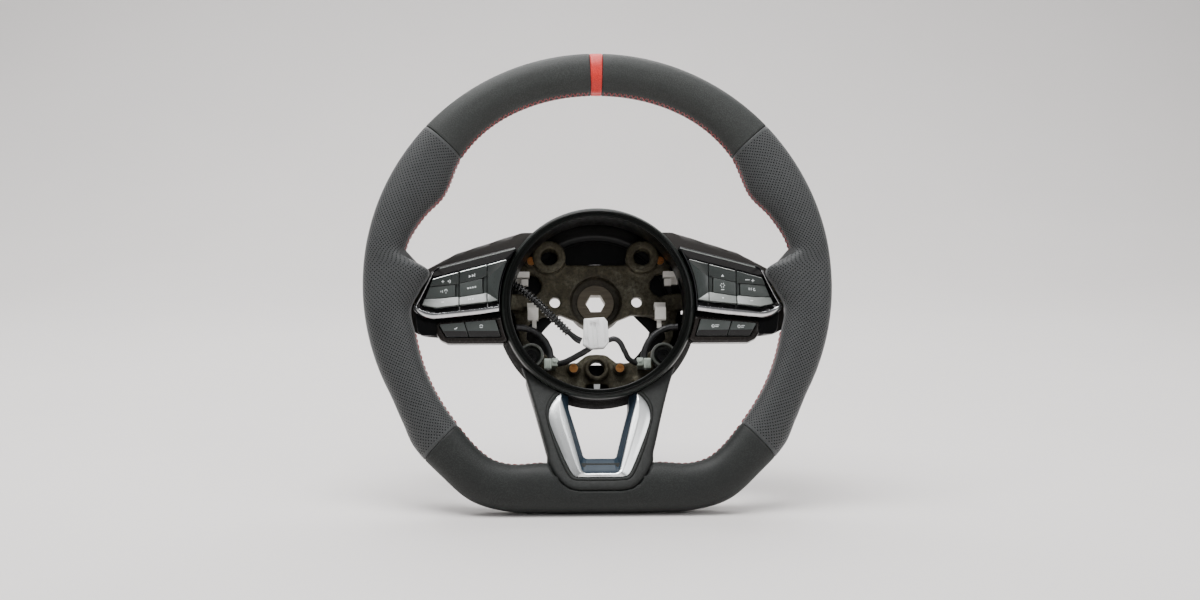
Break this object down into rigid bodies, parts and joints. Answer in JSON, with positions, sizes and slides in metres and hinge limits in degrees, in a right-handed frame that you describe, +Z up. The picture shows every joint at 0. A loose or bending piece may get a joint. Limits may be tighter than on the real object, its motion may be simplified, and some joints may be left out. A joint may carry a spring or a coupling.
{
  "type": "steering wheel",
  "caption": "Flat-bottomed leather steering wheel with side switch pods, a V-shaped lower spoke and an open hub that shows its hex column socket.",
  "frame": {"origin": "on the hub axis, on the rear face of the hub boss, where the wheel seats on the column", "axes": "+X to the driver's right, +Y away from the driver along the column, +Z up towards 12 o'clock"},
  "size_m": [0.369, 0.0915, 0.3666],
  "materials": {
    "cast_magnesium": "as-cast magnesium, olive brown, rough",
    "bright_steel": "bright drawn steel",
    "dark_steel": "dark machined steel",
    "foam": "moulded polyurethane foam",
    "smooth_leather": "smooth fine-grained leather",
    "perforated_leather": "perforated leather",
    "red_leather": "smooth red leather",
    "gloss_black": "piano black",
    "satin_black": "satin black, fine texture",
    "textured_grey": "dark grey, leather-like texture",
    "satin_silver": "satin silver paint on plastic",
    "gloss_blue_grey": "gloss dark blue grey",
    "dark_chrome": "dark chrome plating",
    "dark_brown_plastic": "semi-gloss dark brown black",
    "key_plastic": "soft-touch satin graphite",
    "circuit_board": "green solder mask",
    "silicone": "grey silicone",
    "copper_screw": "yellow-passivated steel with thread lock",
    "black_screw": "black oxide steel",
    "pale_plug": "natural nylon",
    "white_nylon": "white nylon",
    "grey_green_nylon": "pale grey-green nylon",
    "cable_black": "black corrugated conduit and taped wire"
  },
  "bodies": {
    "root": {"armature": "cast_magnesium", "rim_core": "bright_steel", "hub_insert": "dark_steel", "rim_foam": "foam", "top_leather_left": "smooth_leather", "top_leather_right": "smooth_leather", "centre_stripe": "red_leather", "grip_leather_left": "perforated_leather", "grip_leather_right": "perforated_leather", "bottom_leather": "smooth_leather", "hub_bezel": "gloss_black", "back_cover": "satin_black", "rear_plate": "satin_black", "left_spoke_back": "satin_black", "right_spoke_back": "satin_black", "lower_spoke_cover": "textured_grey", "lower_spoke_back": "satin_black", "v_trim": "satin_silver", "v_trim_liner": "gloss_blue_grey", "left_switch_frame": "gloss_black", "right_switch_frame": "gloss_black", "left_chrome_trim": "dark_chrome", "right_chrome_trim": "dark_chrome", "left_blank_panel": "key_plastic", "right_blank_panel": "key_plastic", "left_lower_frame": "dark_brown_plastic", "right_lower_frame": "dark_brown_plastic", "left_switch_board": "circuit_board", "right_switch_board": "circuit_board", "left_key_mat": "silicone", "right_key_mat": "silicone", "module_clips": "bright_steel", "frame_screws": "copper_screw", "bezel_screws": "black_screw", "cover_screws": "black_screw", "switch_plugs": "pale_plug", "centre_clip": "white_nylon", "main_connector": "white_nylon", "left_branch_connector": "grey_green_nylon", "right_branch_connector": "grey_green_nylon", "conduit": "cable_black", "left_lead": "cable_black", "right_lead": "cable_black", "left_arc_cable": "cable_black", "right_arc_cable": "cable_black"},
    "left_outer_rocker": {"left_outer_rocker": "key_plastic"},
    "left_outer_key": {"left_outer_key": "key_plastic"},
    "left_lower_outer_key": {"left_lower_outer_key": "key_plastic"},
    "left_inner_rocker": {"left_inner_rocker": "key_plastic"},
    "left_inner_key": {"left_inner_key": "key_plastic"},
    "left_lower_inner_key": {"left_lower_inner_key": "key_plastic"},
    "right_outer_rocker": {"right_outer_rocker": "key_plastic"},
    "right_outer_key": {"right_outer_key": "key_plastic"},
    "right_lower_outer_key": {"right_lower_outer_key": "key_plastic"},
    "right_inner_rocker": {"right_inner_rocker": "key_plastic"},
    "right_inner_key": {"right_inner_key": "key_plastic"},
    "right_lower_inner_key": {"right_lower_inner_key": "key_plastic"}
  },
  "joints": [
    {"name": "left_outer_rocker_tilt", "type": "hinge", "parent": "root", "child": "left_outer_rocker", "pos_m": [-0.12, -0.067, 0], "axis": [1, 0, 0], "range_deg": [-2.5, 2.5], "stiffness_Nm_per_rad": 0.8},
    {"name": "left_outer_key_press", "type": "slide", "parent": "root", "child": "left_outer_key", "axis": [0, 1, 0], "range_m": [0, 0.0008], "stiffness_N_per_m": 1200},
    {"name": "left_lower_outer_key_press", "type": "slide", "parent": "root", "child": "left_lower_outer_key", "axis": [0, 1, 0], "range_m": [0, 0.0008], "stiffness_N_per_m": 1200},
    {"name": "left_inner_rocker_tilt", "type": "hinge", "parent": "root", "child": "left_inner_rocker", "pos_m": [-0.0983, -0.067, 0.003], "axis": [1, 0, 0], "range_deg": [-2.5, 2.5], "stiffness_Nm_per_rad": 0.8},
    {"name": "left_inner_key_press", "type": "slide", "parent": "root", "child": "left_inner_key", "axis": [0, 1, 0], "range_m": [0, 0.0008], "stiffness_N_per_m": 1200},
    {"name": "left_lower_inner_key_press", "type": "slide", "parent": "root", "child": "left_lower_inner_key", "axis": [0, 1, 0], "range_m": [0, 0.0008], "stiffness_N_per_m": 1200},
    {"name": "right_outer_rocker_tilt", "type": "hinge", "parent": "root", "child": "right_outer_rocker", "pos_m": [0.12, -0.067, 0], "axis": [1, 0, 0], "range_deg": [-2.5, 2.5], "stiffness_Nm_per_rad": 0.8},
    {"name": "right_outer_key_press", "type": "slide", "parent": "root", "child": "right_outer_key", "axis": [0, 1, 0], "range_m": [0, 0.0008], "stiffness_N_per_m": 1200},
    {"name": "right_lower_outer_key_press", "type": "slide", "parent": "root", "child": "right_lower_outer_key", "axis": [0, 1, 0], "range_m": [0, 0.0008], "stiffness_N_per_m": 1200},
    {"name": "right_inner_rocker_tilt", "type": "hinge", "parent": "root", "child": "right_inner_rocker", "pos_m": [0.0983, -0.067, 0.003], "axis": [1, 0, 0], "range_deg": [-2.5, 2.5], "stiffness_Nm_per_rad": 0.8},
    {"name": "right_inner_key_press", "type": "slide", "parent": "root", "child": "right_inner_key", "axis": [0, 1, 0], "range_m": [0, 0.0008], "stiffness_N_per_m": 1200},
    {"name": "right_lower_inner_key_press", "type": "slide", "parent": "root", "child": "right_lower_inner_key", "axis": [0, 1, 0], "range_m": [0, 0.0008], "stiffness_N_per_m": 1200}
  ]
}
